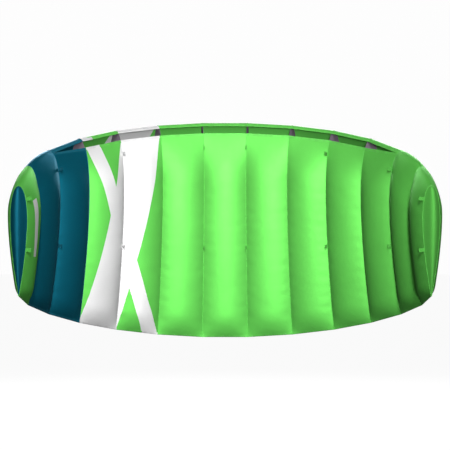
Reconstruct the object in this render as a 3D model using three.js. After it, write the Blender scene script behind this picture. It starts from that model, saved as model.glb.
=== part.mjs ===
// Ram-air power kite: a thirteen-cell fabric wing that the wind inflates through slots in its nose.
//
// Frame, in millimetres: +X along the span to the right wing, +Z along the chord with the leading
// edge up, -Y towards the pilot, who sees the lower skin. The origin lies on the symmetry plane,
// level with the front row of bridle tabs of the two middle ribs.
//
// The wing is an arc of equal cells. A rib stands at every cell border, an upper and a lower panel
// close each cell, and an end panel closes each wing tip. Webbing tabs on the lower seams take the
// bridle. Ribs are numbered 1 to 7 from the middle, cells 1 to 6, with L and R for the two sides.

import * as THREE from 'three';

// Planform
const CELL_COUNT = 13;
const FLAT_SPAN = 1800;
const CELL_WIDTH = FLAT_SPAN / CELL_COUNT;
const CELL_TURN = THREE.MathUtils.degToRad(14.5);
const ARC_RADIUS = CELL_WIDTH / (2 * Math.sin(CELL_TURN / 2));
const ROOT_CHORD = 651;
const MIDDLE_RIB = 0.5;
const TIP_RIB = CELL_COUNT / 2;
const NOSE_SWEEP = 206.6;
const TAIL_SWEEP = 105.3;
const TAIL_ARC_START = THREE.MathUtils.degToRad(9);
const TAIL_ARC_STEP = THREE.MathUtils.degToRad(18);

// Wing section
const SECTION_THICKNESS = 0.155;
const TAIL_HALF_THICKNESS = 1.5;
const NOSE_EDGE_AT = 0.016;
const INTAKE_LIP_AT = 0.0506;
const CLOSED_LIP_AT = 0.0185;
const LAST_OPEN_RIB = 3.5;

// Inflated shape
const UPPER_BILLOW = { middle: 30, tip: 23 };
const LOWER_BILLOW = { middle: 41, tip: 29 };
const BILLOW_FULL_AT = 0.28;
const BILLOW_FADE_FROM = 0.885;
const NOSE_BULGE = 6;
const END_DOME_RATIO = 0.28;
const END_DOME_LEAN = 0.6;

// Fabric
const SKIN = 1.2;
const RIB_PLATE = 1.2;
const SEAM_GAP = 0.35;

// Cross ports in the inner ribs
const PORT_CENTRES = [0.14, 0.3, 0.46, 0.62];
const PORT_SIZE = 0.58;

// Bridle tabs
const TAB_RIBS = [0.5, 2.5, 4.5, 6.5];
const TAB_ROWS = { front: 0.12, rear: 0.58 };
const TAB_LENGTH = 13;
const TAB_WIDTH = 10;
const TAB_RADIUS = 0.8;
const TAB_CLEARANCE = 0.5;

// Facets
const ACROSS = 4;
const UPPER_STEPS = 14;
const LOWER_STEPS = 10;
const DOME_STEPS = 12;

const UP = new THREE.Vector3(0, 0, 1);
const UPPER = 1;
const LOWER = -1;

const COLOURS = {
  green: { color: 0x5fe04a, roughness: 0.6, metalness: 0 },
  white: { color: 0xf2f2f0, roughness: 0.6, metalness: 0 },
  teal: { color: 0x0a5268, roughness: 0.6, metalness: 0 },
  rib: { color: 0xa8aaa8, roughness: 0.8, metalness: 0 },
  webbing: { color: 0x2f7d2c, roughness: 0.85, metalness: 0 },
};

function material(name) {
  return new THREE.MeshStandardMaterial(COLOURS[name]);
}

// Ribs and cells are counted along the span: a rib's place is half a cell off a whole number,
// negative on the left, and a cell's place is the whole number between its two ribs.

function label(place) {
  if (place === 0) return 'C';
  return (place < 0 ? 'L' : 'R') + Math.ceil(Math.abs(place));
}

function noseDrop(place) {
  const reach = (place * place - MIDDLE_RIB ** 2) / (TIP_RIB ** 2 - MIDDLE_RIB ** 2);
  return NOSE_SWEEP * reach;
}

function tailRise(place) {
  return TAIL_SWEEP * (Math.cos(TAIL_ARC_START) - Math.cos(TAIL_ARC_STEP * Math.abs(place)));
}

function chordAt(place) {
  return ROOT_CHORD - noseDrop(place) - tailRise(place);
}

function noseHeight(place) {
  return ROOT_CHORD * TAB_ROWS.front - noseDrop(place);
}

function ribFrame(place) {
  const angle = place * CELL_TURN;
  const middle = ARC_RADIUS * Math.cos(MIDDLE_RIB * CELL_TURN);
  return {
    angle,
    nose: new THREE.Vector3(
      ARC_RADIUS * Math.sin(angle),
      ARC_RADIUS * Math.cos(angle) - middle,
      noseHeight(place),
    ),
    over: new THREE.Vector3(Math.sin(angle), Math.cos(angle), 0),
    along: new THREE.Vector3(Math.cos(angle), -Math.sin(angle), 0),
  };
}

// Half the section's thickness at a fraction of the chord: the symmetric four-digit section.
function halfThickness(chord, at) {
  const shape = 0.2969 * Math.sqrt(at) - 0.126 * at - 0.3516 * at ** 2
    + 0.2843 * at ** 3 - 0.1036 * at ** 4;
  return 5 * SECTION_THICKNESS * chord * shape + TAIL_HALF_THICKNESS * at;
}

// A point of the section in the rib's own plane, x over the chord and y up. The station is the
// square root of the chord fraction, so that steps are fine at the nose; it is negative where the
// upper panel runs on past the nose, to the intake's edge.
function sectionPoint(chord, station, side) {
  const at = station * station;
  return new THREE.Vector2(side * Math.sign(station) * halfThickness(chord, at), -at * chord);
}

function sectionNormal(chord, station, side) {
  const step = 0.004;
  const back = sectionPoint(chord, station - step, side);
  const tangent = sectionPoint(chord, Math.min(station + step, 1), side).sub(back).normalize();
  return new THREE.Vector2(-side * tangent.y, side * tangent.x);
}

function firstStation(place, side) {
  if (side === UPPER) return -Math.sqrt(NOSE_EDGE_AT);
  return Math.sqrt(Math.abs(place) <= LAST_OPEN_RIB ? INTAKE_LIP_AT : CLOSED_LIP_AT);
}

function stationAt(place, side, fraction) {
  return THREE.MathUtils.lerp(firstStation(place, side), 1, fraction);
}

// A panel's edge at a rib, a little clear of the rib's face and inset for the panel's inner side.
function edgePoint(place, side, fraction, shift, inset) {
  const rib = ribFrame(place);
  const chord = chordAt(place);
  const station = stationAt(place, side, fraction);
  const normal = sectionNormal(chord, station, side);
  const flat = sectionPoint(chord, station, side).addScaledVector(normal, -inset);
  return rib.nose.clone()
    .addScaledVector(rib.over, flat.x)
    .addScaledVector(UP, flat.y)
    .addScaledVector(rib.along, shift);
}

// The slope of a full billow at its seams; the wind fills the cells less towards the tips.
function billowAngle(cell, side) {
  const range = side === UPPER ? UPPER_BILLOW : LOWER_BILLOW;
  const reach = Math.abs(cell) / (TIP_RIB - 0.5);
  return THREE.MathUtils.degToRad(THREE.MathUtils.lerp(range.middle, range.tip, reach));
}

function billowHeight(angle, across, width) {
  const radius = width / (2 * Math.sin(angle));
  const half = width * (across - 0.5);
  return Math.sqrt(radius * radius - half * half) - radius * Math.cos(angle);
}

function isClosed(cell) {
  return Math.abs(cell) > LAST_OPEN_RIB + 1;
}

// The share of the full billow: none along an intake's lips and the tail, a low bulge at a closed nose.
function billowShare(cell, side, station, fullHeight) {
  const at = Math.sign(station) * station * station;
  const first = isClosed(cell) ? 0 : Math.max(0, firstStation(cell, side)) ** 2;
  const start = isClosed(cell) ? NOSE_BULGE / fullHeight : 0;
  const rise = THREE.MathUtils.lerp(start, 1, THREE.MathUtils.smoothstep(at, first, BILLOW_FULL_AT));
  const tail = Math.max(0, (at - BILLOW_FADE_FROM) / (1 - BILLOW_FADE_FROM));
  return rise * (1 - tail * tail);
}

function panelPoint(cell, side, across, fraction, inset) {
  const clear = RIB_PLATE / 2 + SEAM_GAP;
  const left = edgePoint(cell - 0.5, side, fraction, clear, inset);
  const right = edgePoint(cell + 0.5, side, fraction, -clear, inset);
  const station = stationAt(cell, side, fraction);
  const normal = sectionNormal(chordAt(cell), station, side);
  const width = left.distanceTo(right);
  const angle = billowAngle(cell, side);
  const share = billowShare(cell, side, station, billowHeight(angle, 0.5, width));
  const height = billowHeight(angle, across, width) * share;
  return left.clone().lerp(right, across)
    .addScaledVector(ribFrame(cell).over, normal.x * height)
    .addScaledVector(UP, normal.y * height);
}

// A closed sheet: an outer grid of points, an inner one, and a strip all round between them.
function sheetGeometry(columns, rows, outerPoint, innerPoint, flipped) {
  const positions = [];
  for (const point of [outerPoint, innerPoint]) {
    for (let row = 0; row <= rows; row++) {
      for (let column = 0; column <= columns; column++) {
        positions.push(...point(column / columns, row / rows).toArray());
      }
    }
  }
  const layer = (columns + 1) * (rows + 1);
  const at = (row, column, inner) => row * (columns + 1) + column + (inner ? layer : 0);
  const faces = [];
  const quad = (a, b, c, d) => faces.push(flipped ? [a, c, b] : [a, b, c], flipped ? [a, d, c] : [a, c, d]);
  for (let row = 0; row < rows; row++) {
    for (let column = 0; column < columns; column++) {
      quad(at(row, column), at(row, column + 1), at(row + 1, column + 1), at(row + 1, column));
      quad(
        at(row, column, true), at(row + 1, column, true),
        at(row + 1, column + 1, true), at(row, column + 1, true),
      );
    }
  }
  for (let column = 0; column < columns; column++) {
    quad(at(0, column), at(0, column, true), at(0, column + 1, true), at(0, column + 1));
    quad(at(rows, column), at(rows, column + 1), at(rows, column + 1, true), at(rows, column, true));
  }
  for (let row = 0; row < rows; row++) {
    quad(at(row, 0), at(row + 1, 0), at(row + 1, 0, true), at(row, 0, true));
    quad(at(row, columns), at(row, columns, true), at(row + 1, columns, true), at(row + 1, columns));
  }
  const geometry = new THREE.BufferGeometry();
  geometry.setAttribute('position', new THREE.Float32BufferAttribute(positions, 3));
  geometry.setIndex(faces.flat());
  geometry.computeVertexNormals();
  return geometry;
}

function cellColour(cell) {
  if (cell === -4 || cell === -5) return 'teal';
  if (cell === -2 || cell === -3) return 'white';
  return 'green';
}

function panel(cell, side) {
  const geometry = sheetGeometry(
    ACROSS,
    side === UPPER ? UPPER_STEPS : LOWER_STEPS,
    (across, fraction) => panelPoint(cell, side, across, fraction, 0),
    (across, fraction) => panelPoint(cell, side, across, fraction, SKIN),
    side === LOWER,
  );
  const mesh = new THREE.Mesh(geometry, material(cellColour(cell)));
  mesh.name = `${side === UPPER ? 'upper' : 'lower'}_panel_${label(cell)}`;
  return mesh;
}

function placeOnRib(mesh, place) {
  const rib = ribFrame(place);
  mesh.position.copy(rib.nose);
  mesh.rotation.set(Math.PI / 2, 0, Math.PI / 2 - rib.angle, 'ZYX');
  return mesh;
}

function rib(place) {
  const chord = chordAt(place);
  const outline = [];
  for (let step = 0; step <= UPPER_STEPS; step++) {
    outline.push(sectionPoint(chord, stationAt(place, UPPER, step / UPPER_STEPS), UPPER));
  }
  for (let step = LOWER_STEPS; step >= 0; step--) {
    outline.push(sectionPoint(chord, stationAt(place, LOWER, step / LOWER_STEPS), LOWER));
  }
  const shape = new THREE.Shape(outline);
  for (const at of PORT_CENTRES) {
    const port = new THREE.Path();
    port.absarc(0, -at * chord, PORT_SIZE * halfThickness(chord, at), 0, 2 * Math.PI, false);
    shape.holes.push(port);
  }
  const options = { depth: RIB_PLATE, bevelEnabled: false, curveSegments: 5 };
  const geometry = new THREE.ExtrudeGeometry(shape, options).translate(0, 0, -RIB_PLATE / 2);
  const mesh = new THREE.Mesh(geometry, material('rib'));
  mesh.name = `rib_${label(place)}`;
  return placeOnRib(mesh, place);
}

// The tip's closing panel, in its rib's plane and blown out into a low dome that leans to the upper skin.
function endPanel(place) {
  const chord = chordAt(place);
  const outward = Math.sign(place);
  const point = (across, fraction, face) => {
    const station = THREE.MathUtils.lerp(Math.sqrt(NOSE_EDGE_AT) / 2, 1, fraction);
    const half = halfThickness(chord, station * station);
    const over = 2 * across - 1;
    const dome = END_DOME_RATIO * 2 * half * (1 - over * over) * (1 + END_DOME_LEAN * over);
    return new THREE.Vector3(half * over, -station * station * chord, outward * (dome + face));
  };
  const geometry = sheetGeometry(
    ACROSS,
    DOME_STEPS,
    (across, fraction) => point(across, fraction, RIB_PLATE / 2),
    (across, fraction) => point(across, fraction, -RIB_PLATE / 2),
    outward > 0,
  );
  const mesh = new THREE.Mesh(geometry, material(outward < 0 ? 'teal' : 'green'));
  mesh.name = `end_panel_${label(place)[0]}`;
  return placeOnRib(mesh, place);
}

// A folded webbing tab, flat in its rib's plane, sewn to the seam at its round root.
function tab(place, row) {
  const shape = new THREE.Shape();
  shape.absarc(0, 0, TAB_RADIUS, Math.PI, 2 * Math.PI, false);
  shape.absarc(0, TAB_LENGTH, TAB_RADIUS, 0, Math.PI, false);
  const options = { depth: TAB_WIDTH, bevelEnabled: false, curveSegments: 3 };
  const geometry = new THREE.ExtrudeGeometry(shape, options).translate(0, 0, -TAB_WIDTH / 2);
  const mesh = new THREE.Mesh(geometry, material('webbing'));
  mesh.name = `bridle_tab_${label(place)}_${row}`;

  const frame = ribFrame(place);
  const chord = chordAt(place);
  const station = Math.sqrt(TAB_ROWS[row]);
  const flat = sectionNormal(chord, station, LOWER);
  const out = frame.over.clone().multiplyScalar(flat.x).addScaledVector(UP, flat.y);
  const seam = sectionPoint(chord, station, LOWER);
  mesh.position.copy(frame.nose)
    .addScaledVector(frame.over, seam.x)
    .addScaledVector(UP, seam.y)
    .addScaledVector(out, TAB_CLEARANCE + TAB_RADIUS);
  const axes = new THREE.Matrix4().makeBasis(frame.along, out, frame.along.clone().cross(out));
  mesh.quaternion.setFromRotationMatrix(axes);
  return mesh;
}

const kite = new THREE.Group();

const lastCell = (CELL_COUNT - 1) / 2;
for (let cell = -lastCell; cell <= lastCell; cell++) {
  kite.add(panel(cell, UPPER));
  kite.add(panel(cell, LOWER));
}
for (let place = 1 - TIP_RIB; place < TIP_RIB; place++) {
  kite.add(rib(place));
}
for (const outward of [-1, 1]) {
  kite.add(endPanel(outward * TIP_RIB));
  for (const place of TAB_RIBS) {
    for (const row of Object.keys(TAB_ROWS)) {
      kite.add(tab(outward * place, row));
    }
  }
}

export default kite;
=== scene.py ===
"""The looks of a thirteen-cell ram-air kite: blown-up ripstop skins on ribs, with sewn hems and tabs.

Everything is in metres in the CAD model's frame: +X along the span, +Z to the leading edge, and -Y
towards the pilot, who sees the lower skin. A rib's place is half a cell off a whole number and a
cell's place is a whole number; both are negative on the left wing.
"""

import math

import bmesh
import bpy
import numpy as np
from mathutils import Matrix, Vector


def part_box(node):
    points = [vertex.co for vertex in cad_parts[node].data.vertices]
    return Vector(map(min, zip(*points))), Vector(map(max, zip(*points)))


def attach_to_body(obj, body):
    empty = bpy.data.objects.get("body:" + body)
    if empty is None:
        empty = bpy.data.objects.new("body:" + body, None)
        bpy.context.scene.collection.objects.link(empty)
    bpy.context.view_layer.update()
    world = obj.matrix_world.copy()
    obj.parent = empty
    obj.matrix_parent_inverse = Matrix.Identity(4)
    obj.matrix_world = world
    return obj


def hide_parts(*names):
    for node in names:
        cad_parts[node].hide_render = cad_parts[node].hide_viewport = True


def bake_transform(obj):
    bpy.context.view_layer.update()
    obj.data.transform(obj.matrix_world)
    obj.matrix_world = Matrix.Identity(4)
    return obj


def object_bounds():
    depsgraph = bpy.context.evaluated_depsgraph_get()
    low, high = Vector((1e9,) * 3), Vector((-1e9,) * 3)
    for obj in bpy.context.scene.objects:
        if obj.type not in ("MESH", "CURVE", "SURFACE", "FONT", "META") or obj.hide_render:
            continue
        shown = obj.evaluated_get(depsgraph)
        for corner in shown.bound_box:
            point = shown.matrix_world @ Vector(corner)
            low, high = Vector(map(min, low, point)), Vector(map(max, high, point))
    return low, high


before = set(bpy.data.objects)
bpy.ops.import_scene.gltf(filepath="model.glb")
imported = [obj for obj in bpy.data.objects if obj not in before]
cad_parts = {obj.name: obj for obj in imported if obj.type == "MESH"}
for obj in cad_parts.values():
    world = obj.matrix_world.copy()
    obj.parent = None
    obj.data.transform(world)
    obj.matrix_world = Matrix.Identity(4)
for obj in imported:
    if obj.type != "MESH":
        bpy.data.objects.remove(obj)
cad_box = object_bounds()

# Wing section and inflated shape, as in the CAD model
SECTION_THICKNESS = 0.155
NOSE_EDGE_AT = 0.016
INTAKE_LIP_AT = 0.0506
CLOSED_NOSE_AT = 0.0172
LAST_OPEN_RIB = 3.5
UPPER_BILLOW = {"middle": 30, "tip": 23}
LOWER_BILLOW = {"middle": 41, "tip": 29}
BILLOW_FULL_AT = 0.28
BILLOW_FADE_FROM = 0.885
NOSE_BULGE = 0.006
END_DOME_RATIO = 0.28
END_DOME_LEAN = 0.6
PORT_CENTRES = (0.14, 0.3, 0.46, 0.62)
PORT_SIZE = 0.58

# How far below the nose the CAD model's rib plates and end panels stop, as a share of the chord
CAD_TOP_AT = 0.0012
CAD_END_TOP_AT = 0.004

# Cells and ribs
LAST_CELL = 6
INNER_RIBS = [k + 0.5 for k in range(-6, 6)]
UPPER = 1
LOWER = -1
UP = np.array([0.0, 0.0, 1.0])

# Sewn details
TAIL_HALF = 0.0007
CLOTH = 0.0004
RIB_CLOTH = 0.0005
RIB_INSET = 0.0007
SEAM_RADIUS = 0.0009
HEM_DEPTH = 0.007
TAIL_HEM_DEPTH = 0.006
HEM_LIFT = 0.0003
FLAT_MARGIN = 1.0001
PUCKER_PITCH = 0.031
PUCKER_HEIGHT = 0.0005
PUCKER_REACH = 0.011

# Bridle tabs; all but the radius as in the CAD model, whose tabs are thicker all round
TAB_RIBS = (0.5, 2.5, 4.5, 6.5)
TAB_ROWS = {"front": 0.12, "rear": 0.58}
TAB_LENGTH = 0.013
TAB_WIDTH = 0.010
TAB_RADIUS = 0.0006
TAB_ROOT_HEIGHT = 0.0013
TAB_SECTIONS = ((-0.5, 0.7), (-0.46, 1), (-0.2, 1), (0, 1), (0.2, 1), (0.46, 1), (0.5, 0.7))

# Camera, light and floor
CAMERA_LENS = 120
CAMERA_SENSOR = 36
CAMERA_DISTANCE = 4.565
CAMERA_HEIGHT = -0.2321
LIGHT_DISTANCE = 6.0
WORLD_STRENGTH = 0.06
BACKDROP_RADIUS = 30
FLOOR_RADIUS = 29
FLOOR_DROP = 0.75

# Mesh fineness
NORMAL_STEP = 0.004
COLUMNS = 20
NOSE_ROWS = 16
NOSE_ROWS_END_AT = 0.08
ROW_LENGTH = 0.008
PORT_STEPS = 40
RIB_STEPS = 60
FOLD_STEPS = 8
SEAM_SIDES = 8
HEM_STEPS = 24
COLOUR_STEPS = 200
SHARP_ANGLE = 50

# Linear colours
GREEN = (0.154, 0.71, 0.108)
WHITE = (0.88, 0.88, 0.88)
TEAL = (0.005, 0.178, 0.265)
# Rib cloth in the grey that the ribs show in the shade inside the intakes: painted shade.
RIB_PAINTED_SHADE_GREY = (0.20, 0.165, 0.205)


# ---------------------------------------------------------------- camera, light and floor

def aim(thing, target):
    direction = Vector(target) - thing.location
    thing.rotation_mode = "QUATERNION"
    thing.rotation_quaternion = direction.to_track_quat("-Z", "Y")


def link(data, name):
    thing = bpy.data.objects.new(name, data)
    bpy.context.scene.collection.objects.link(thing)
    return thing


def make_camera():
    data = bpy.data.cameras.new("camera")
    data.lens = CAMERA_LENS
    data.sensor_width = CAMERA_SENSOR
    camera = link(data, "camera")
    camera.location = (0, -CAMERA_DISTANCE, CAMERA_HEIGHT)
    aim(camera, (0, 0, CAMERA_HEIGHT))
    bpy.context.scene.camera = camera


def place_light(name, data, azimuth, elevation, power):
    """Hangs a light round the wing, azimuth 0 being the pilot's side, aimed at the wing's middle."""
    data.energy = power
    light = link(data, name)
    side = math.radians(azimuth)
    rise = math.radians(elevation)
    centre = (cad_box[0] + cad_box[1]) / 2
    way = Vector((math.sin(side) * math.cos(rise), -math.cos(side) * math.cos(rise), math.sin(rise)))
    light.location = centre + way * LIGHT_DISTANCE
    aim(light, centre)


def area_light(name, azimuth, elevation, size, power):
    data = bpy.data.lights.new(name, "AREA")
    data.shape = "DISK"
    data.size = size
    place_light(name, data, azimuth, elevation, power)


def spot_light(name, azimuth, elevation, size, cone, power):
    """A soft-edged spot, so that the tips fall into shade."""
    data = bpy.data.lights.new(name, "SPOT")
    data.shadow_soft_size = size
    data.spot_size = math.radians(cone)
    data.spot_blend = 1
    place_light(name, data, azimuth, elevation, power)


def stage_piece(name, shape, strength):
    """A glowing backdrop or floor, which the wing's cloth doesn't reflect."""
    mesh = bpy.data.meshes.new(name)
    shape.to_mesh(mesh)
    shape.free()
    thing = link(mesh, name)
    thing.visible_diffuse = False
    thing.visible_glossy = False
    mesh.materials.append(glow(name, strength))
    return thing


def make_studio():
    world = bpy.data.worlds.new("studio")
    world.use_nodes = True
    background = world.node_tree.nodes["Background"]
    background.inputs["Color"].default_value = (1, 1, 1, 1)
    background.inputs["Strength"].default_value = WORLD_STRENGTH
    scene = bpy.context.scene
    scene.world = world
    scene.view_settings.view_transform = "Standard"
    spot_light("key", 3, 2, 0.35, 16.0, 1260)
    spot_light("top", 2, 32, 0.5, 16.5, 1760)
    area_light("back_right", 166, 20, 2.5, 240)
    area_light("back_left", 194, 20, 2.5, 240)

    shape = bmesh.new()
    bmesh.ops.create_uvsphere(shape, u_segments=48, v_segments=24, radius=BACKDROP_RADIUS)
    backdrop = stage_piece("backdrop", shape, 0.98)
    backdrop.visible_shadow = False

    shape = bmesh.new()
    bmesh.ops.create_circle(shape, cap_ends=True, segments=64, radius=FLOOR_RADIUS)
    floor = stage_piece("floor", shape, 0.95)
    floor.location.z = cad_box[0].z - FLOOR_DROP


def glow(name, strength):
    material = bpy.data.materials.new(name)
    material.use_nodes = True
    shader = material.node_tree.nodes["Principled BSDF"]
    shader.inputs["Base Color"].default_value = (0.06, 0.06, 0.06, 1)
    shader.inputs["Roughness"].default_value = 1
    shader.inputs["Specular IOR Level"].default_value = 0
    shader.inputs["Emission Color"].default_value = (1, 1, 1, 1)
    shader.inputs["Emission Strength"].default_value = strength
    return material


# ---------------------------------------------------------------- the frame's ribs

def label(place):
    if place == 0:
        return "C"
    return ("L" if place < 0 else "R") + str(math.ceil(abs(place)))


def unit(vector):
    return vector / np.linalg.norm(vector)


def rib_frame(angle, nose_xy, nose_z, tail_z):
    return {
        "angle": angle,
        "nose": np.array([nose_xy[0], nose_xy[1], nose_z]),
        "over": np.array([math.sin(angle), math.cos(angle), 0.0]),
        "along": np.array([math.cos(angle), -math.sin(angle), 0.0]),
        "chord": nose_z - tail_z,
    }


def inner_rib(place):
    points = np.array([v.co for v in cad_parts["rib_" + label(place)].data.vertices])
    bottom = points[:, 2].min()
    tail = points[points[:, 2] < bottom + 1e-6].mean(axis=0)
    plan = points[:, :2] - points[:, :2].mean(axis=0)
    across = np.linalg.svd(plan, full_matrices=False)[2][0]
    across = across * np.sign(across[1])
    chord = (points[:, 2].max() - bottom) / (1 - CAD_TOP_AT)
    return rib_frame(math.atan2(across[0], across[1]), tail[:2], bottom + chord, bottom)


def end_rib(side, ribs):
    near = ribs[side * 5.5]
    before = ribs[side * 4.5]
    turn = near["angle"] - before["angle"]
    width = np.linalg.norm(near["nose"][:2] - before["nose"][:2])
    middle = near["angle"] + turn / 2
    step = side * width * np.array([math.cos(middle), -math.sin(middle)])
    low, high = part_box("end_panel_" + label(side)[0])
    chord = (high.z - low.z) / (1 - CAD_END_TOP_AT)
    return rib_frame(near["angle"] + turn, near["nose"][:2] + step, low.z + chord, low.z)


def all_ribs():
    ribs = {place: inner_rib(place) for place in INNER_RIBS}
    for side in (-1, 1):
        ribs[side * 6.5] = end_rib(side, ribs)
    return ribs


RIBS = all_ribs()


def rib_body(place):
    if abs(place) < 2:
        return "centre"
    part = "mid_" if abs(place) < 4 else "tip_"
    return part + ("L" if place < 0 else "R")


def attach(piece, place):
    """The piece follows its rib's body; a cell's piece between two bodies only has its transform baked
    in.
    """
    if place != int(place) or abs(place) not in (2, 4):
        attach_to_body(piece, rib_body(place))
        return
    side = int(math.copysign(1, place))
    inner = place - 0.5 * side
    outer = place + 0.5 * side
    start = [*RIBS[inner]["nose"][:2], 0]
    end = [*RIBS[outer]["nose"][:2], 0]
    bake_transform(piece)


# ---------------------------------------------------------------- the skin's surface

def smoothstep(value, low, high):
    share = np.clip((value - low) / (high - low), 0, 1)
    return share * share * (3 - 2 * share)


def half_thickness(chord, at):
    shape = 0.2969 * np.sqrt(at) - 0.126 * at - 0.3516 * at**2 + 0.2843 * at**3 - 0.1036 * at**4
    return 5 * SECTION_THICKNESS * chord * shape + TAIL_HALF * at


def section(chord, station, side):
    """Distance over the chord and height below the nose; the station is the root of the chord share."""
    at = station * station
    return side * np.sign(station) * half_thickness(chord, at), -at * chord


def section_normal(chord, station, side):
    over_a, up_a = section(chord, station - NORMAL_STEP, side)
    over_b, up_b = section(chord, np.minimum(station + NORMAL_STEP, 1), side)
    length = np.hypot(over_b - over_a, up_b - up_a)
    return -side * (up_b - up_a) / length, side * (over_b - over_a) / length


def first_station(place, side):
    is_open = abs(place) <= LAST_OPEN_RIB
    if side == UPPER:
        return -math.sqrt(NOSE_EDGE_AT if is_open else CLOSED_NOSE_AT)
    return math.sqrt(INTAKE_LIP_AT if is_open else CLOSED_NOSE_AT)


def in_frame(rib, over, up):
    return rib["nose"] + over[..., None] * rib["over"] + up[..., None] * UP


def rib_line(place, side, fraction):
    """Points of the section's outline at a rib, and their normals."""
    rib = RIBS[place]
    first = first_station(place, side)
    station = first + (1 - first) * fraction
    normal_over, normal_up = section_normal(rib["chord"], station, side)
    over, up = section(rib["chord"], station, side)
    return in_frame(rib, over, up), normal_over[..., None] * rib["over"] + normal_up[..., None] * UP


def cell_middle(cell):
    left, right = RIBS[cell - 0.5], RIBS[cell + 0.5]
    return unit(left["over"] + right["over"]), (left["chord"] + right["chord"]) / 2


def middle_first(cell, side):
    return (first_station(cell - 0.5, side) + first_station(cell + 0.5, side)) / 2


def pucker(cell, side, edge, distance):
    """Small gathers that run in from the seams."""
    phase = 1.7 * cell + side
    wave = np.sin(2 * math.pi * distance / PUCKER_PITCH + phase)
    wave = wave + 0.6 * np.sin(2 * math.pi * distance / (1.62 * PUCKER_PITCH) + 2.3 * phase)
    reach = edge / PUCKER_REACH
    return PUCKER_HEIGHT * wave * reach**2 * np.exp(2 * (1 - reach))


def is_closed(cell):
    return abs(cell) > LAST_OPEN_RIB + 1


def billow_height(angle, across, width):
    radius = width / (2 * math.sin(angle))
    offset = width * (across - 0.5)
    return np.sqrt(radius**2 - offset**2) - radius * math.cos(angle)


def billow(cell, side, across, width, at):
    """How far the wind blows a panel out; less towards the tips, and nothing along lips and tail."""
    spread = UPPER_BILLOW if side == UPPER else LOWER_BILLOW
    reach = abs(cell) / LAST_CELL
    angle = math.radians(spread["middle"] * (1 - reach) + spread["tip"] * reach)
    full = billow_height(angle, 0.5, width)
    start = NOSE_BULGE / full if is_closed(cell) else 0.0
    first = 0 if is_closed(cell) or side == UPPER else middle_first(cell, side) ** 2
    rise = start + (1 - start) * smoothstep(at, first, BILLOW_FULL_AT)
    tail = np.clip((at - BILLOW_FADE_FROM) / (1 - BILLOW_FADE_FROM), 0, 1)
    fade = rise * (1 - tail**2)
    return billow_height(angle, across, width) * fade, fade


def skin(cell, side, across, fraction):
    """Points and normals of a blown-up panel, from across 0 to 1 and from its front edge to the tail."""
    left, _ = rib_line(cell - 0.5, side, fraction)
    right, _ = rib_line(cell + 0.5, side, fraction)
    width = np.linalg.norm(right - left, axis=-1)
    over, chord = cell_middle(cell)
    first = middle_first(cell, side)
    station = first + (1 - first) * fraction
    at = np.sign(station) * station * station
    height, fade = billow(cell, side, across, width, at)
    edge = width * np.minimum(across, 1 - across)
    height = height + pucker(cell, side, edge, chord * at) * fade
    normal_over, normal_up = section_normal(chord, station, side)
    normal = normal_over[..., None] * over + normal_up[..., None] * UP
    points = left * (1 - across)[..., None] + right * across[..., None]
    return points + normal * height[..., None], normal


def share_at(cell, side, at):
    """The panel fraction of a signed chord share, in the middle of a cell."""
    first = middle_first(cell, side)
    station = np.sign(at) * np.sqrt(np.abs(at))
    return np.clip((station - first) / (1 - first), 0, 1)


# ---------------------------------------------------------------- meshes

def row_shares(cell, side):
    """Signed chord shares of a panel's rows: close together at the nose, then evenly spaced."""
    first = middle_first(cell, side)
    stations = np.linspace(first, math.sqrt(NOSE_ROWS_END_AT), NOSE_ROWS)
    chord = cell_middle(cell)[1]
    rows = math.ceil(chord * (1 - NOSE_ROWS_END_AT) / ROW_LENGTH)
    rest = np.linspace(NOSE_ROWS_END_AT, 1, rows + 1)[1:]
    return np.concatenate([np.sign(stations) * stations**2, rest])


def column_shares():
    return 0.5 - 0.5 * np.cos(np.linspace(0, math.pi, COLUMNS + 1))


def flat_panel(cell, side, cuts):
    """A panel before it is blown up: a flat grid of across and chord share, cut along straight lines."""
    shape = bmesh.new()
    rows = [
        [shape.verts.new((across, at, 0)) for across in column_shares()]
        for at in row_shares(cell, side)
    ]
    for row in range(len(rows) - 1):
        for column in range(COLUMNS):
            near, far = rows[row], rows[row + 1]
            shape.faces.new((near[column], near[column + 1], far[column + 1], far[column]))
    for start, end in cuts:
        direction = (start[1] - end[1], end[0] - start[0], 0)
        everything = shape.verts[:] + shape.edges[:] + shape.faces[:]
        bmesh.ops.bisect_plane(
            shape, geom=everything, plane_co=(*start, 0), plane_no=direction, dist=1e-5,
        )
    return shape


def inside(point, corners):
    """True if the point lies in the convex outline."""
    signs = []
    for k, a in enumerate(corners):
        b = corners[(k + 1) % len(corners)]
        signs.append((b[0] - a[0]) * (point[1] - a[1]) - (b[1] - a[1]) * (point[0] - a[0]) > 0)
    return all(signs) or not any(signs)


def turn_outward(shape, sample, outward):
    """Makes the faces agree, with a sample face looking outward."""
    bmesh.ops.recalc_face_normals(shape, faces=shape.faces[:])
    if np.dot(sample.normal, outward) < 0:
        bmesh.ops.reverse_faces(shape, faces=shape.faces[:])


def blown_mesh(name, cell, side, shape):
    """Blows a flat panel up into its place, with a map in metres along the cloth."""
    shape.verts.index_update()
    flat = np.array([v.co for v in shape.verts])
    fraction = share_at(cell, side, flat[:, 1])
    points, _ = skin(cell, side, flat[:, 0], fraction)
    width = np.linalg.norm(RIBS[cell + 0.5]["nose"] - RIBS[cell - 0.5]["nose"])
    chord = cell_middle(cell)[1]
    layer = shape.loops.layers.uv.new("cloth")
    for face in shape.faces:
        for loop in face.loops:
            loop[layer].uv = (flat[loop.vert.index, 0] * width, flat[loop.vert.index, 1] * chord)
    for vert in shape.verts:
        vert.co = points[vert.index]
    middle_face = min(shape.faces, key=lambda face: abs(face.calc_center_median().z + chord / 3))
    turn_outward(shape, middle_face, side * cell_middle(cell)[0])
    mesh = bpy.data.meshes.new(name)
    shape.to_mesh(mesh)
    shape.free()
    return mesh


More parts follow.
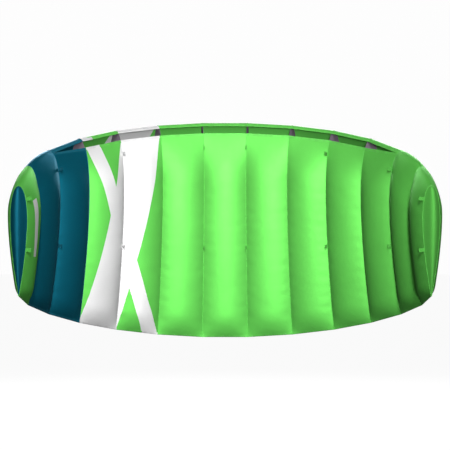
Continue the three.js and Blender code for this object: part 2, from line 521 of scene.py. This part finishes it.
def thicken(thing, thickness, offset):
    """Gives a sheet its cloth thickness and shades it smooth."""
    modifier = thing.modifiers.new("cloth", "SOLIDIFY")
    modifier.thickness = thickness
    modifier.offset = offset
    evaluated = thing.evaluated_get(bpy.context.evaluated_depsgraph_get())
    mesh = bpy.data.meshes.new_from_object(evaluated)
    thing.modifiers.clear()
    thing.data = mesh
    smooth(mesh)


def smooth(mesh):
    mesh.shade_smooth()
    mesh.set_sharp_from_angle(angle=math.radians(SHARP_ANGLE))


def surface_size(mesh):
    """The size of an open sheet laid flat: width, length and area."""
    uv = np.array([corner.uv for corner in mesh.uv_layers["cloth"].data])
    area = sum(face.area for face in mesh.polygons)
    width, length = uv.max(axis=0) - uv.min(axis=0)
    stretch = max(1.0, area / (width * length) * FLAT_MARGIN)
    return width * math.sqrt(stretch), length * math.sqrt(stretch), area


def tube(name, rings):
    """A closed mesh through rings of points, each a closed loop, with a map along and around."""
    rings = np.array(rings)
    count, around = rings.shape[:2]
    steps = np.linalg.norm(np.diff(rings.mean(axis=1), axis=0), axis=1)
    distance = np.concatenate([[0], np.cumsum(steps)])
    turn = np.linalg.norm(np.diff(rings[count // 2], axis=0, append=rings[count // 2][:1]), axis=1)
    around_distance = np.concatenate([[0], np.cumsum(turn)])
    shape = bmesh.new()
    verts = [[shape.verts.new(p) for p in ring] for ring in rings]
    layer = shape.loops.layers.uv.new("cloth")
    for k in range(count - 1):
        for m in range(around):
            n = (m + 1) % around
            face = shape.faces.new((verts[k][m], verts[k][n], verts[k + 1][n], verts[k + 1][m]))
            corners = ((m, k), (m + 1, k), (m + 1, k + 1), (m, k + 1))
            for loop, (j, i) in zip(face.loops, corners):
                loop[layer].uv = (around_distance[j], distance[i])
    shape.faces.new(verts[0])
    shape.faces.new(verts[-1])
    bmesh.ops.recalc_face_normals(shape, faces=shape.faces[:])
    mesh = bpy.data.meshes.new(name)
    shape.to_mesh(mesh)
    shape.free()
    smooth(mesh)
    return mesh


# ---------------------------------------------------------------- materials

class Nodes:
    """Adds nodes to a material and joins them."""

    def __init__(self, name):
        self.material = bpy.data.materials.new(name)
        self.material.use_nodes = True
        self.tree = self.material.node_tree
        self.shader = self.tree.nodes["Principled BSDF"]

    def put(self, socket, value):
        if isinstance(value, bpy.types.NodeSocket):
            self.tree.links.new(value, socket)
        else:
            socket.default_value = value

    def math(self, operation, *values):
        node = self.tree.nodes.new("ShaderNodeMath")
        node.operation = operation
        for socket, value in zip(node.inputs, values):
            self.put(socket, value)
        return node.outputs[0]

    def ramp(self, value, low, high, to_low, to_high):
        node = self.tree.nodes.new("ShaderNodeMapRange")
        node.interpolation_type = "SMOOTHSTEP"
        for socket, number in zip(node.inputs[:5], (value, low, high, to_low, to_high)):
            self.put(socket, number)
        return node.outputs[0]

    def noise(self, scale, detail=2.0):
        node = self.tree.nodes.new("ShaderNodeTexNoise")
        coordinates = self.tree.nodes.new("ShaderNodeTexCoord")
        self.put(node.inputs["Vector"], coordinates.outputs["Object"])
        node.inputs["Scale"].default_value = scale
        node.inputs["Detail"].default_value = detail
        return node.outputs["Fac"]

    def cloth_map(self):
        node = self.tree.nodes.new("ShaderNodeUVMap")
        node.uv_map = "cloth"
        split = self.tree.nodes.new("ShaderNodeSeparateXYZ")
        self.put(split.inputs[0], node.outputs["UV"])
        return split.outputs[0], split.outputs[1]

    def scaled(self, colour, factor):
        node = self.tree.nodes.new("ShaderNodeVectorMath")
        node.operation = "SCALE"
        node.inputs[0].default_value = colour
        self.put(node.inputs["Scale"], factor)
        return node.outputs[0]

    def mixed(self, factor, first, second):
        node = self.tree.nodes.new("ShaderNodeMix")
        node.data_type = "RGBA"
        self.put(node.inputs["Factor"], factor)
        self.put(node.inputs["A"], first)
        self.put(node.inputs["B"], second)
        return node.outputs["Result"]

    def bump(self, height, distance, before=None):
        node = self.tree.nodes.new("ShaderNodeBump")
        node.inputs["Strength"].default_value = 1
        node.inputs["Distance"].default_value = distance
        self.put(node.inputs["Height"], height)
        if before is not None:
            self.put(node.inputs["Normal"], before)
        return node.outputs[0]

    def lines(self, value, pitch, share):
        """1 on thin lines at every pitch, 0 between them."""
        phase = self.math("FRACT", self.math("DIVIDE", value, pitch))
        away = self.math("ABSOLUTE", self.math("SUBTRACT", phase, 0.5))
        return self.ramp(away, 0.5 - share, 0.5, 0.0, 1.0)


def ripstop(name, colour, metallic, roughness):
    """Coated ripstop nylon: a fine weave with a grid of thicker threads, softly creased."""
    nodes = Nodes(name)
    across, down = nodes.cloth_map()
    grid = nodes.math("MAXIMUM", nodes.lines(across, 0.005, 0.07), nodes.lines(down, 0.005, 0.07))
    threads = nodes.math("MULTIPLY", nodes.lines(across, 0.0005, 0.5), nodes.lines(down, 0.0005, 0.5))
    patches = nodes.noise(7.0, 3.0)
    shade = nodes.ramp(patches, 0.3, 0.7, 0.965, 1.03)
    shade = nodes.math("MULTIPLY", shade, nodes.ramp(grid, 0.0, 1.0, 1.0, 0.95))
    nodes.put(nodes.shader.inputs["Base Color"], nodes.scaled(colour, shade))
    worn = nodes.math("MULTIPLY_ADD", nodes.noise(45.0), 0.10, roughness - 0.05)
    nodes.put(nodes.shader.inputs["Roughness"], nodes.math("MULTIPLY_ADD", grid, -0.05, worn))
    creases = nodes.bump(nodes.noise(22.0, 4.0), 0.0012)
    weave = nodes.bump(nodes.math("MULTIPLY_ADD", threads, 0.3, grid), 0.00006, creases)
    nodes.put(nodes.shader.inputs["Normal"], weave)
    nodes.shader.inputs["Metallic"].default_value = metallic
    nodes.shader.inputs["Specular IOR Level"].default_value = 0.35
    tint = (0.5 + 0.5 * channel / max(colour) for channel in colour)
    nodes.shader.inputs["Specular Tint"].default_value = (*tint, 1)
    return nodes.material


def sewn_tape(name, colour, stitch_colour, rows):
    """Narrow tape with ribs across it and rows of lockstitch along it, given by their place around."""
    nodes = Nodes(name)
    around, along = nodes.cloth_map()
    dash = nodes.lines(along, 0.0035, 0.33)
    stitches = None
    for row in rows:
        near = nodes.math("ABSOLUTE", nodes.math("SUBTRACT", around, row))
        line = nodes.ramp(near, 0.00025, 0.00045, 1.0, 0.0)
        stitches = line if stitches is None else nodes.math("MAXIMUM", stitches, line)
    stitches = nodes.math("MULTIPLY", stitches, dash)
    weave = nodes.lines(along, 0.0007, 0.5)
    base = nodes.scaled(colour, nodes.ramp(nodes.noise(60.0), 0.3, 0.7, 0.92, 1.05))
    nodes.put(nodes.shader.inputs["Base Color"], nodes.mixed(stitches, base, (*stitch_colour, 1)))
    nodes.put(nodes.shader.inputs["Roughness"], nodes.math("MULTIPLY_ADD", nodes.noise(90.0), 0.15, 0.55))
    bumps = nodes.bump(weave, 0.00004)
    nodes.put(nodes.shader.inputs["Normal"], nodes.bump(stitches, 0.0003, bumps))
    nodes.shader.inputs["Metallic"].default_value = 0.4
    return nodes.material


def webbing(name, colour):
    """Woven webbing with a herringbone of ribs."""
    nodes = Nodes(name)
    along, across = nodes.cloth_map()
    slant = nodes.math("ABSOLUTE", nodes.math("SUBTRACT", across, TAB_WIDTH / 2))
    ribs = nodes.lines(nodes.math("ADD", along, slant), 0.0012, 0.5)
    shade = nodes.ramp(ribs, 0.0, 1.0, 0.85, 1.1)
    nodes.put(nodes.shader.inputs["Base Color"], nodes.scaled(colour, shade))
    nodes.put(nodes.shader.inputs["Roughness"], nodes.math("MULTIPLY_ADD", nodes.noise(200.0), 0.2, 0.65))
    nodes.put(nodes.shader.inputs["Normal"], nodes.bump(ribs, 0.0002))
    nodes.shader.inputs["Metallic"].default_value = 0.4
    nodes.shader.inputs["Specular IOR Level"].default_value = 0.2
    return nodes.material


def make_materials():
    dark_green = tuple(0.8 * c for c in GREEN)
    return {
        "green": ripstop("ripstop_green", GREEN, 0.45, 0.62),
        "white": ripstop("ripstop_white", WHITE, 0.35, 0.62),
        "teal": ripstop("ripstop_teal", TEAL, 0.7, 0.55),
        # The rib cloth's grey is painted shade.
        "rib": ripstop("ripstop_rib", RIB_PAINTED_SHADE_GREY, 0.0, 0.75),
        # The end panels take the skins' cloth at 0.7 of its colour: painted shade, for the tips that get
        # less light.
        "green_end_painted_shade": ripstop("ripstop_green_end", tuple(0.7 * c for c in GREEN), 0.45, 0.62),
        "teal_end_painted_shade": ripstop("ripstop_teal_end", tuple(0.7 * c for c in TEAL), 0.7, 0.55),
        "green_tape": sewn_tape("tape_green", GREEN, dark_green, (0.002, 0.0055)),
        "white_tape": sewn_tape("tape_white", WHITE, (0.6, 0.6, 0.6), (0.002, 0.0055)),
        "teal_tape": sewn_tape("tape_teal", TEAL, (0.01, 0.10, 0.13), (0.002, 0.0055)),
        # The green and teal webbing is darkened to 0.8 and 0.6 of the cloth colour: painted shade, so the
        # tabs look as dark as the shaded skin beside them.
        "green_webbing": webbing("webbing_green", tuple(0.8 * c for c in GREEN)),
        "white_webbing": webbing("webbing_white", WHITE),
        "teal_webbing": webbing("webbing_teal", tuple(0.6 * c for c in TEAL)),
    }


def dress(thing, finish):
    thing.data.materials.clear()
    thing.data.materials.append(MATERIALS[finish])


# ---------------------------------------------------------------- colour layout

# Colour panels let into a skin of another colour, with their corners as (across, chord share).
INSETS = {
    (-3, LOWER): ("green", [
        ((-0.02, 0.02), (0.50, 0.42), (-0.02, 1.0)),
        ((0.285, -0.05), (0.65, 0.278), (1.155, -0.05)),
    ]),
    (-2, LOWER): ("green", [
        ((1.02, 0.0), (0.31, 0.644), (0.63, 0.832), (1.04, 1.02)),
        ((0.18, 0.781), (-0.02, 1.02), (0.375, 0.90)),
        ((0.375, 0.90), (-0.02, 1.02), (0.65, 1.02)),
    ]),
    (-3, UPPER): ("green", [
        ((0.39, -0.03), (0.02, 0.018), (-0.02, 0.42), (0.90, 0.03), (1.02, -0.03)),
        ((-0.02, 0.7), (-0.02, 1.02), (0.45, 1.02)),
    ]),
    (-2, UPPER): ("green", [
        ((1.02, -0.02), (0.31, 0.35), (1.04, 0.72)),
        ((0.30, 0.62), (-0.02, 1.02), (0.80, 1.02)),
    ]),
    # One plain stripe
    (-6, LOWER): ("white", [
        ((0.22, 0.17), (0.41, 0.17), (0.43, 0.64), (0.30, 0.64)),
    ]),
}
SEAM_COLOURS = {-5.5: "teal", -4.5: "teal", -3.5: "teal", -2.5: "white"}


def cell_colour(cell):
    if cell in (-4, -5):
        return "teal"
    return "white" if cell in (-2, -3) else "green"


def seam_colour(place):
    return SEAM_COLOURS.get(place, "green")


def colour_at(cell, side, across, at):
    finish, outlines = INSETS.get((cell, side), (None, []))
    if any(inside((across, at), corners) for corners in outlines):
        return finish
    return cell_colour(cell)


def colour_runs(cell, side, at):
    """The stretches of one colour across a cell at one chord share, as (start, end, colour)."""
    runs = []
    for k in range(COLOUR_STEPS):
        colour = colour_at(cell, side, (k + 0.5) / COLOUR_STEPS, at)
        if runs and runs[-1][2] == colour:
            runs[-1][1] = (k + 1) / COLOUR_STEPS
        else:
            runs.append([k / COLOUR_STEPS, (k + 1) / COLOUR_STEPS, colour])
    return runs


# ---------------------------------------------------------------- pieces

def finish_sheet(thing, place, finish, node, thickness, offset):
    """Thickens, colours and attaches one piece of cloth, and hides its CAD node."""
    width, length, area = surface_size(thing.data)
    thicken(thing, thickness, offset)
    dress(thing, finish)
    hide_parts(node)
    attach(thing, place)
    thing.visible_diffuse = False
    thing.visible_glossy = False


def make_skin(cell, side):
    kind = "upper" if side == UPPER else "lower"
    node = kind + "_panel_" + label(cell)
    name = kind + "_skin_" + label(cell)
    if (cell, side) not in INSETS:
        mesh = blown_mesh(name, cell, side, flat_panel(cell, side, []))
        finish_sheet(link(mesh, name), cell, cell_colour(cell), node, CLOTH, -1)
        return
    inset_finish, outlines = INSETS[cell, side]
    cuts = [(corners[k - 1], corners[k]) for corners in outlines for k in range(len(corners))]
    for finish in (cell_colour(cell), inset_finish):
        shape = flat_panel(cell, side, cuts)
        unwanted = [
            face for face in shape.faces
            if colour_at(cell, side, *face.calc_center_median()[:2]) != finish
        ]
        bmesh.ops.delete(shape, geom=unwanted, context="FACES")
        mesh = blown_mesh(name + "_" + finish, cell, side, shape)
        finish_sheet(link(mesh, name + "_" + finish), cell, finish, node, CLOTH, -1)


def rib_loops(place):
    """The outline of a rib and the rounds of its ports, as points over and up from its nose."""
    chord = RIBS[place]["chord"]
    fractions = np.linspace(0, 1, RIB_STEPS)
    outline = []
    for side, order in ((UPPER, 1), (LOWER, -1)):
        first = first_station(place, side)
        station = first + (1 - first) * fractions[::order]
        over, up = section(chord, station, side)
        normal_over, normal_up = section_normal(chord, station, side)
        outline += list(zip(over - RIB_INSET * normal_over, up - RIB_INSET * normal_up))
    loops = [outline]
    for at in PORT_CENTRES:
        radius = PORT_SIZE * half_thickness(chord, at)
        angles = np.linspace(0, 2 * math.pi, PORT_STEPS, endpoint=False)
        loops.append([(radius * math.cos(a), radius * math.sin(a) - at * chord) for a in angles])
    return loops


def filled(loops):
    """A flat mesh that fills an outline and leaves its holes open."""
    curve = bpy.data.curves.new("rib_outline", "CURVE")
    curve.dimensions = "2D"
    curve.fill_mode = "BOTH"
    for loop in loops:
        spline = curve.splines.new("POLY")
        spline.points.add(len(loop) - 1)
        for point, (x, y) in zip(spline.points, loop):
            point.co = (x, y, 0, 1)
        spline.use_cyclic_u = True
    drawn = link(curve, "rib_outline")
    evaluated = drawn.evaluated_get(bpy.context.evaluated_depsgraph_get())
    mesh = bpy.data.meshes.new_from_object(evaluated)
    bpy.data.objects.remove(drawn)
    bpy.data.curves.remove(curve)
    return mesh


def make_rib(place):
    rib = RIBS[place]
    mesh = filled(rib_loops(place))
    flat = np.array([v.co for v in mesh.vertices])
    layer = mesh.uv_layers.new(name="cloth")
    for loop in mesh.loops:
        layer.data[loop.index].uv = flat[loop.vertex_index][:2]
    for vert, (x, y, _) in zip(mesh.vertices, flat):
        vert.co = rib["nose"] + x * rib["over"] + y * UP
    name = "rib_cloth_" + label(place)
    mesh.name = name
    finish_sheet(link(mesh, name), place, "rib", "rib_" + label(place), RIB_CLOTH, 0)


def dome_points(side, rib):
    """Rows of points of an end panel: each as its place on the flat rib and its place in space."""
    rows = []
    for station in np.concatenate([np.linspace(0.02, 0.3, 12)[:-1], np.linspace(0.3, 1, 70)]):
        half = half_thickness(rib["chord"], station**2)
        up = -station**2 * rib["chord"]
        row = []
        for across in column_shares():
            over = 2 * across - 1
            dome = side * END_DOME_RATIO * 2 * half * (1 - over * over) * (1 + END_DOME_LEAN * over)
            point = rib["nose"] + half * over * rib["over"] + up * UP + dome * rib["along"]
            row.append(((half * over, up), point))
        rows.append(row)
    return rows


def make_end_panel(side):
    """The closed tip: its rib's cloth, blown out into a low dome."""
    place = side * 6.5
    rib = RIBS[place]
    points = dome_points(side, rib)
    shape = bmesh.new()
    layer = shape.loops.layers.uv.new("cloth")
    rows = [[shape.verts.new(point) for _, point in row] for row in points]
    flat = [spot for row in points for spot, _ in row]
    shape.verts.index_update()
    for near, far in zip(rows, rows[1:]):
        for m in range(COLUMNS):
            face = shape.faces.new((near[m], near[m + 1], far[m + 1], far[m]))
            for loop in face.loops:
                loop[layer].uv = flat[loop.vert.index]
    shape.faces.ensure_lookup_table()
    turn_outward(shape, shape.faces[len(shape.faces) // 2], side * rib["along"])
    name = "end_skin_" + label(place)[0]
    mesh = bpy.data.meshes.new(name)
    shape.to_mesh(mesh)
    shape.free()
    # The end panel gets the darkened cloth, which is painted shade.
    finish = "teal_end_painted_shade" if side < 0 else "green_end_painted_shade"
    finish_sheet(link(mesh, name), place, finish, "end_panel_" + label(place)[0], CLOTH, -1)


def make_seam(place, side):
    """The felled seam that joins two panels to a rib, a thin round welt in the valley between them."""
    rib = RIBS[place]
    fractions = np.concatenate([np.linspace(0, 0.3, 30)[:-1], np.linspace(0.3, 1, 90)])
    points, normals = rib_line(place, side, fractions)
    angles = np.linspace(0, 2 * math.pi, SEAM_SIDES, endpoint=False)
    rings = [
        [
            point + SEAM_RADIUS * (math.cos(a) * normal + math.sin(a) * rib["along"])
            for a in angles
        ]
        for point, normal in zip(points, normals)
    ]
    kind = "upper" if side == UPPER else "lower"
    piece = link(tube("seam", rings), kind + "_seam_" + label(place))
    dress(piece, seam_colour(place) + "_tape")
    attach(piece, place)


def skin_line(cell, side, across, shares, lift):
    """Points over one place across a panel at several chord shares, off the cloth by the lift."""
    spots = np.full(len(shares), across)
    points, normals = skin(cell, side, spots, share_at(cell, side, np.array(shares)))
    return points + lift * normals


def hem_pieces(name, cell, side, at, ring):
    """A folded tape along one edge of a cell, one piece for each colour it runs through."""
    runs = colour_runs(cell, side, at)
    for k, (start, end, colour) in enumerate(runs):
        count = max(3, round(HEM_STEPS * (end - start)))
        rings = [ring(across) for across in np.linspace(start, end, count + 1)]
        suffix = "" if len(runs) == 1 else "_" + str(k + 1)
        piece = link(tube("hem", rings), name + "_" + label(cell) + suffix)
        dress(piece, colour + "_tape")
        attach(piece, cell)


def lip_hem(cell, side):
    """Tape folded round one lip of a cell's intake."""
    chord = cell_middle(cell)[1]
    first = middle_first(cell, side)
    start_at = math.copysign(first * first, first)
    shares = [start_at + share * HEM_DEPTH / chord for share in (1, 0.75, 0.5, 0.25, 0)]

    def ring(across):
        outer = skin_line(cell, side, across, shares, HEM_LIFT)
        inner = skin_line(cell, side, across, shares, -CLOTH - HEM_LIFT)
        tip = (outer[-1] + inner[-1]) / 2 + unit(outer[-1] - outer[-2]) * HEM_LIFT
        return [*outer, tip, *inner[::-1]]

    hem_pieces("upper_lip" if side == UPPER else "lower_lip", cell, side, start_at, ring)


def tail_hem(cell):
    """Tape folded round the trailing edge of a cell, holding both skins."""
    chord = cell_middle(cell)[1]
    shares = [1 - share * TAIL_HEM_DEPTH / chord for share in (1, 0.66, 0.33, 0)]

    def ring(across):
        upper = skin_line(cell, UPPER, across, shares, HEM_LIFT)
        lower = skin_line(cell, LOWER, across, shares, HEM_LIFT)
        tip = (upper[-1] + lower[-1]) / 2 - HEM_LIFT * UP
        return [*upper, tip, *lower[::-1]]

    hem_pieces("tail_hem", cell, LOWER, 1.0, ring)


def tab_outline():
    """The folded tab seen on edge: points of thickness and length round its two folds."""
    turns = [math.pi * k / FOLD_STEPS for k in range(FOLD_STEPS + 1)]
    lengths = [TAB_LENGTH * k / 6 for k in range(1, 6)]
    root_fold = [(-TAB_RADIUS * math.cos(a), -TAB_RADIUS * math.sin(a)) for a in turns]
    end_fold = [(TAB_RADIUS * math.cos(a), TAB_LENGTH + TAB_RADIUS * math.sin(a)) for a in turns]
    up = [(TAB_RADIUS, y) for y in lengths]
    down = [(-TAB_RADIUS, y) for y in lengths[::-1]]
    return root_fold + up + end_fold + down


def make_tab(place, row):
    rib = RIBS[place]
    first = first_station(place, LOWER)
    fraction = np.array([(math.sqrt(TAB_ROWS[row]) - first) / (1 - first)])
    points, normals = rib_line(place, LOWER, fraction)
    out = normals[0]
    root = points[0] + out * TAB_ROOT_HEIGHT
    width_way = np.cross(rib["along"], out)
    rings = [
        [
            root + width_way * (TAB_WIDTH * share) + rib["along"] * (x * pinch) + out * y
            for x, y in tab_outline()
        ]
        for share, pinch in TAB_SECTIONS
    ]
    node = "bridle_tab_" + label(place) + "_" + row
    piece = link(tube("tab", rings), "tab_webbing_" + label(place) + "_" + row)
    dress(piece, seam_colour(place) + "_webbing")
    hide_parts(node)
    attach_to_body(piece, node)


make_camera()
make_studio()
MATERIALS = make_materials()

for cell in range(-LAST_CELL, LAST_CELL + 1):
    make_skin(cell, UPPER)
    make_skin(cell, LOWER)
    tail_hem(cell)
    if abs(cell) <= 4:
        lip_hem(cell, UPPER)
        lip_hem(cell, LOWER)

for place in INNER_RIBS:
    make_rib(place)

for place in [-6.5, *INNER_RIBS, 6.5]:
    make_seam(place, UPPER)
    make_seam(place, LOWER)

for side in (-1, 1):
    make_end_panel(side)
    for place in TAB_RIBS:
        for row in TAB_ROWS:
            make_tab(side * place, row)
